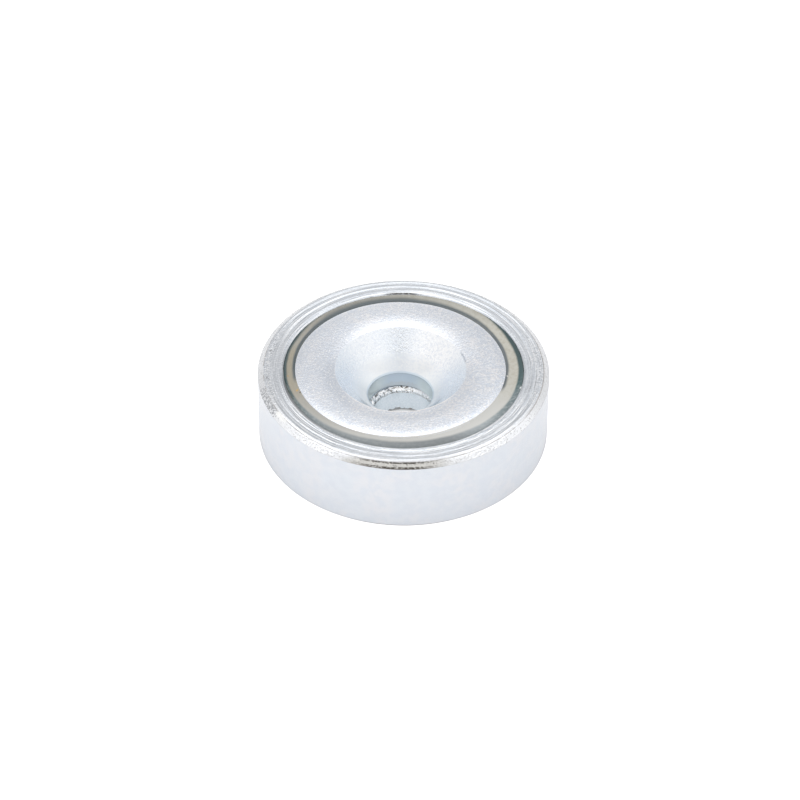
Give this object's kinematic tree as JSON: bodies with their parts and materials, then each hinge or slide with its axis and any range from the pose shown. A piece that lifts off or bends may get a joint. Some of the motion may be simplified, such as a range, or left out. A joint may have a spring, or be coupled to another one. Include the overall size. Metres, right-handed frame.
{
  "type": "countersunk pot magnet",
  "caption": "Round pot magnet: a shallow steel pot with a countersunk ring magnet bonded in level with its rim, screwed down through its centre.",
  "frame": {"origin": "middle of the pot's flat back face, where the screw hole's axis meets it", "axes": "+Z along the pot's axis from the back face towards the face that pulls; X and Y are free, with +Y away from the picture's camera"},
  "size_m": [0.025, 0.025, 0.007],
  "materials": {
    "plated_steel": "bright blue-white zinc plate over a turned surface, glossy with fine turning rings",
    "plated_magnet": "satin bright plate over sintered neodymium, softly rounded edges",
    "resin": "glossy cured casting resin, greyish tan"
  },
  "bodies": {
    "root": {"steel_pot": "plated_steel", "ring_magnet": "plated_magnet", "resin_ring": "resin"}
  },
  "joints": []
}
